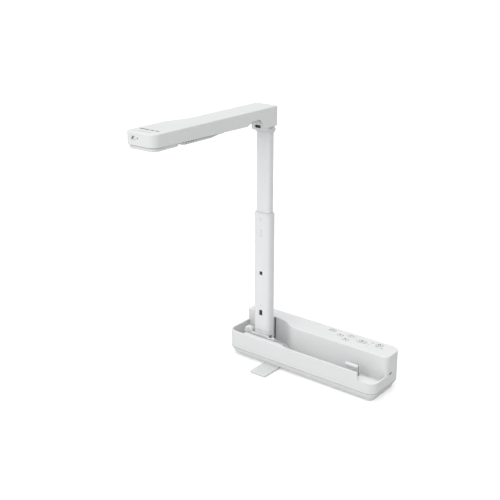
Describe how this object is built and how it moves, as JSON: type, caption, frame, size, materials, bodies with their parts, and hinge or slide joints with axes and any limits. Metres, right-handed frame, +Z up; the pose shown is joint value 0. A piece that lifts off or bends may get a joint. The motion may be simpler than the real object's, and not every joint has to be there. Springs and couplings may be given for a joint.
{
  "type": "document camera",
  "caption": "Folding document camera: camera arm on a telescopic column that folds sideways over a tray base with a control panel and a swing-out stabiliser foot.",
  "frame": {"origin": "centre of the base's footprint on the table, under the rubber feet", "axes": "+X to the right end of the base, +Y to the back of the base, +Z up; the camera arm points along -Y"},
  "size_m": [0.248, 0.2782, 0.3735],
  "materials": {
    "shell_white": "fine textured white plastic",
    "column_white": "satin white coated metal tube",
    "key_white": "smooth white plastic",
    "black_plastic": "moulded black plastic",
    "rubber": "soft dark rubber",
    "steel": "plated steel",
    "circuit_board": "solder-masked board",
    "ribbon": "flat flexible cable",
    "switch_black": "small switches",
    "lamp_chip": "lamp chips",
    "diffuser": "frosted lamp window",
    "lens_glass": "coated lens",
    "indicator": "small light pipe"
  },
  "bodies": {
    "base": {"bottom_cover": "shell_white", "upper_housing": "shell_white", "rubber_feet": "rubber", "base_screws": "steel", "ballast_plate": "steel", "main_board": "circuit_board", "usb_socket": "steel", "usb_insert": "black_plastic", "lock_plate": "steel", "microphone": "black_plastic", "panel_board": "circuit_board", "tact_switches": "switch_black", "panel_screws": "steel", "status_led": "indicator", "column_bracket": "shell_white", "bracket_screws": "steel", "hinge_pin": "steel", "hinge_pin_clip": "steel", "friction_washer": "black_plastic", "cable_guide_drum": "shell_white", "catch_mount": "shell_white", "foot_pivot_screw": "steel"},
    "stabilizer": {"stabilizer_foot": "shell_white", "foot_pad": "rubber"},
    "catch": {"catch_tongue": "shell_white"},
    "key_left_body": {"key_left": "key_white"},
    "key_zoom_out_body": {"key_zoom_out": "key_white"},
    "key_zoom_in_body": {"key_zoom_in": "key_white"},
    "key_mode_body": {"key_mode": "key_white"},
    "key_capture_body": {"key_capture": "key_white"},
    "key_power_body": {"key_power": "key_white"},
    "column_lower": {"outer_tube": "column_white", "column_foot": "column_white", "slide_bush": "shell_white", "window_plugs": "black_plastic", "bush_cap": "shell_white"},
    "column_upper": {"inner_tube": "column_white", "slide_shoe": "black_plastic", "top_yoke": "shell_white", "cable_grommet": "black_plastic", "column_ribbon": "ribbon"},
    "arm": {"arm_shell": "shell_white", "arm_under_plate": "black_plastic", "arm_screws": "steel", "arm_hinge_pin": "steel", "hinge_washers": "steel", "hinge_pin_cap": "shell_white", "camera_housing": "black_plastic", "lens_barrel": "black_plastic", "lens_glass": "lens_glass", "camera_board": "circuit_board", "arm_ribbon": "ribbon", "head_undercover": "shell_white", "lamp_board": "circuit_board", "lamp_leds": "lamp_chip", "lamp_diffuser": "diffuser", "lamp_switch": "switch_black", "lamp_indicator": "indicator"},
    "lens_slider": {"lens_cover": "shell_white"},
    "lamp_button_body": {"lamp_button": "key_white"}
  },
  "joints": [
    {"name": "column_fold", "type": "hinge", "parent": "base", "child": "column_lower", "pos_m": [-0.0762, -0.0112, 0.0589], "axis": [0, 1, 0], "range_deg": [0, 90]},
    {"name": "column_slide", "type": "slide", "parent": "column_lower", "child": "column_upper", "axis": [0, 0, -1], "range_m": [0, 0.082]},
    {"name": "arm_fold", "type": "hinge", "parent": "column_upper", "child": "arm", "pos_m": [-0.0762, -0.0167, 0.349], "axis": [1, 0, 0], "range_deg": [0, 90]},
    {"name": "lens_cover_slide", "type": "slide", "parent": "arm", "child": "lens_slider", "axis": [0, 1, 0], "range_m": [0, 0.015]},
    {"name": "stabilizer_swing", "type": "hinge", "parent": "base", "child": "stabilizer", "pos_m": [-0.0475, -0.0182, 0.002], "axis": [0, 0, 1], "range_deg": [0, 90]},
    {"name": "catch_flex", "type": "hinge", "parent": "base", "child": "catch", "pos_m": [0.0765, -0.0172, 0.0226], "axis": [-1, 0, 0], "range_deg": [0, 8], "stiffness_Nm_per_rad": 0.6},
    {"name": "key_left_press", "type": "slide", "parent": "base", "child": "key_left_body", "axis": [0, 0, -1], "range_m": [0, 0.0007], "stiffness_N_per_m": 900},
    {"name": "key_zoom_out_press", "type": "slide", "parent": "base", "child": "key_zoom_out_body", "axis": [0, 0, -1], "range_m": [0, 0.0007], "stiffness_N_per_m": 900},
    {"name": "key_zoom_in_press", "type": "slide", "parent": "base", "child": "key_zoom_in_body", "axis": [0, 0, -1], "range_m": [0, 0.0007], "stiffness_N_per_m": 900},
    {"name": "key_mode_press", "type": "slide", "parent": "base", "child": "key_mode_body", "axis": [0, 0, -1], "range_m": [0, 0.0007], "stiffness_N_per_m": 900},
    {"name": "key_capture_press", "type": "slide", "parent": "base", "child": "key_capture_body", "axis": [0, 0, -1], "range_m": [0, 0.0007], "stiffness_N_per_m": 900},
    {"name": "key_power_press", "type": "slide", "parent": "base", "child": "key_power_body", "axis": [0, 0, -1], "range_m": [0, 0.0007], "stiffness_N_per_m": 900},
    {"name": "lamp_button_press", "type": "slide", "parent": "arm", "child": "lamp_button_body", "axis": [0, 1, 0], "range_m": [0, 0.0005], "stiffness_N_per_m": 900}
  ]
}
